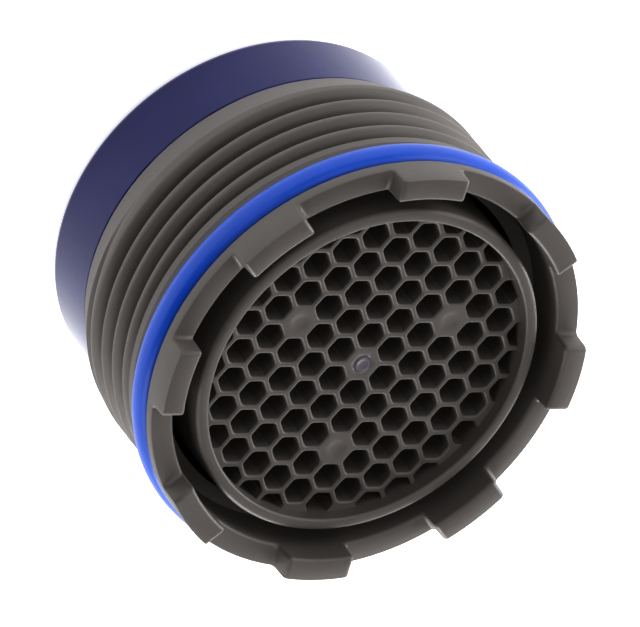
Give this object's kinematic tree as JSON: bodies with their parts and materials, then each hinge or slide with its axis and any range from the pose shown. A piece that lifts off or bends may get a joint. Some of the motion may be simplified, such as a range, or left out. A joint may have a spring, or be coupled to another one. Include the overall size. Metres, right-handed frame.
{
  "type": "tap aerator",
  "caption": "Recessed tap aerator: threaded grey sleeve with a castellated key crown, honeycomb outlet, blue collar ring, dark-blue inlet seal, sieve, flow regulator and mixing grids inside.",
  "frame": {"origin": "centre of the inlet seal's lower face, on the axis", "axes": "+Z along the axis from the inlet to the outlet; +X through the middle of a crown tooth that lines up with a filled honeycomb cell"},
  "size_m": [0.0192, 0.0192, 0.0126],
  "materials": {
    "grey_moulding": "satin moulded, warm dark grey",
    "bright_blue_rubber": "smooth, slightly glossy",
    "dark_blue_rubber": "matte",
    "black_moulding": "matte moulded",
    "pale_moulding": "natural moulded",
    "black_rubber": "matte"
  },
  "bodies": {
    "root": {"housing": "grey_moulding", "collar_o_ring": "bright_blue_rubber", "inlet_seal": "dark_blue_rubber", "outlet_honeycomb": "grey_moulding", "lower_mixing_grid": "grey_moulding", "upper_mixing_grid": "grey_moulding", "jet_diffuser": "black_moulding", "regulator_body": "pale_moulding", "regulator_ring": "black_rubber", "regulator_cap": "pale_moulding", "prefilter_screen": "pale_moulding"}
  },
  "joints": []
}
